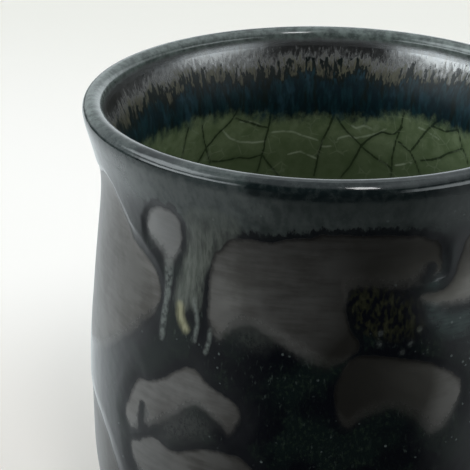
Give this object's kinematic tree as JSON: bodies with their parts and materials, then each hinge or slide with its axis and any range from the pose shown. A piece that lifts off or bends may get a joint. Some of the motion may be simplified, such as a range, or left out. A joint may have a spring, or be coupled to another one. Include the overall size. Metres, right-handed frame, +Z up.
{
  "type": "tea cup",
  "caption": "Tall round-bellied tea cup without a handle, on a foot ring, with a rounded lip, a windowed dark coat outside and a crackled green liner inside.",
  "frame": {"origin": "centre of the foot ring's resting face", "axes": "+Z up along the cup's axis; -Y is the side that faces the viewer"},
  "size_m": [0.0786, 0.0786, 0.088],
  "materials": {
    "clay": "bare fired clay, fine-grained, matte",
    "brown_glaze": "satin brown-grey glaze",
    "dark_glaze": "glossy blue-black glaze",
    "rim_glaze": "glossy dark green-grey glaze",
    "brown_band": "metallic grey-brown glaze with dark streaks",
    "blue_band": "glossy blue-black glaze",
    "green_glaze": "glossy pale green glaze with stained crackle",
    "ash_glaze": "glossy pale yellow-green run"
  },
  "bodies": {
    "root": {"clay_body": "clay", "brown_underglaze": "brown_glaze", "dark_overglaze": "dark_glaze", "rim_glaze": "rim_glaze", "inner_brown_band": "brown_band", "inner_blue_band": "blue_band", "celadon_liner": "green_glaze", "ash_runs": "ash_glaze"}
  },
  "joints": []
}
